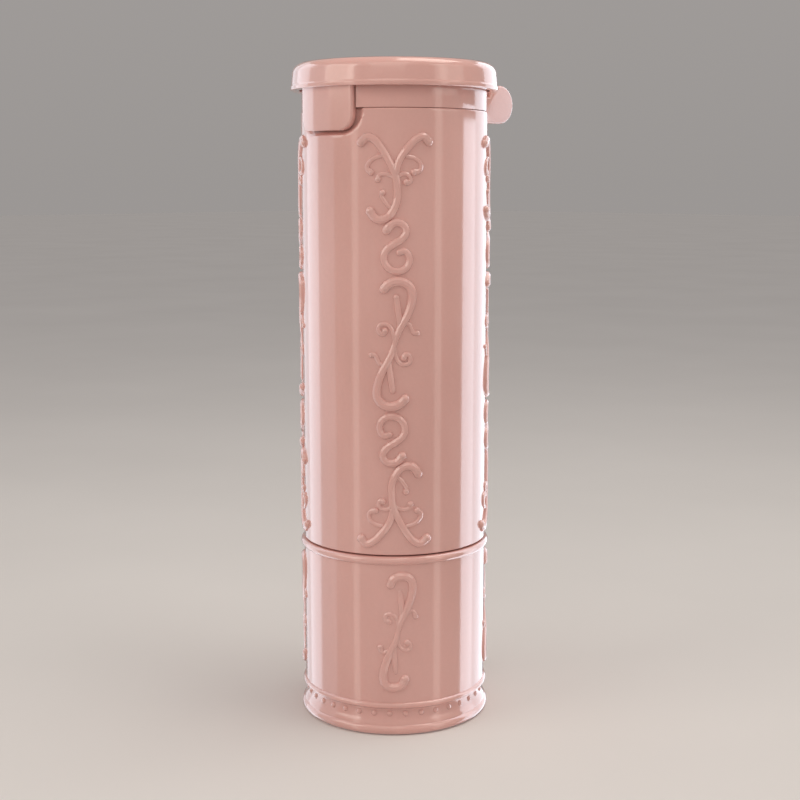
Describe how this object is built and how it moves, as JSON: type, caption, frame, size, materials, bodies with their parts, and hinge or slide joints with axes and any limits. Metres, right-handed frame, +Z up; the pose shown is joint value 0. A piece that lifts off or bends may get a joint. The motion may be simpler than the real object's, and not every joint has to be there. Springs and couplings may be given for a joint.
{
  "type": "lipstick case",
  "caption": "Upright twist-up lipstick case with a hinged flip lid, latch tongue, waist ring and a turning base that raises the lipstick.",
  "frame": {"origin": "centre of the flat underside of the base", "axes": "+Z up along the case's axis, -Y towards the lid's latch tongue, +Y towards the hinge, X along the hinge pin"},
  "size_m": [0.0244, 0.0277, 0.0783],
  "materials": {
    "pink_plastic": "glossy moulded",
    "inner_plastic": "smooth moulded",
    "wax": "smooth cast wax",
    "steel": "turned",
    "rubber": "matt"
  },
  "bodies": {
    "body": {"outer_sleeve": "pink_plastic", "neck_collar": "pink_plastic", "guide_tube": "inner_plastic", "hinge_pin": "steel"},
    "base": {"base_shell": "pink_plastic", "base_plug": "pink_plastic", "base_weight": "steel", "drive_neck": "inner_plastic", "friction_ring": "rubber", "spiral_tube": "inner_plastic"},
    "carrier": {"cup": "inner_plastic", "lipstick_bullet": "wax"},
    "lid": {"lid_shell": "pink_plastic", "lid_liner": "inner_plastic"}
  },
  "joints": [
    {"name": "base_turn", "type": "hinge", "parent": "body", "child": "base", "pos_m": [0, 0, 0], "axis": [0, 0, 1], "range_deg": [0, 540]},
    {"name": "cup_rise", "type": "slide", "parent": "body", "child": "carrier", "axis": [0, 0, 1], "range_m": [0, 0.024]},
    {"name": "lid_hinge", "type": "hinge", "parent": "body", "child": "lid", "pos_m": [0, 0.0132, 0.07364], "axis": [-1, 0, 0], "range_deg": [0, 120]}
  ],
  "couplings": [
    {"joint": "cup_rise", "follows": "base_turn", "m_per_rad": 0.0025464},
    {"joint": "lid_hinge", "follows": "base_turn", "ratio": 0.2222}
  ]
}
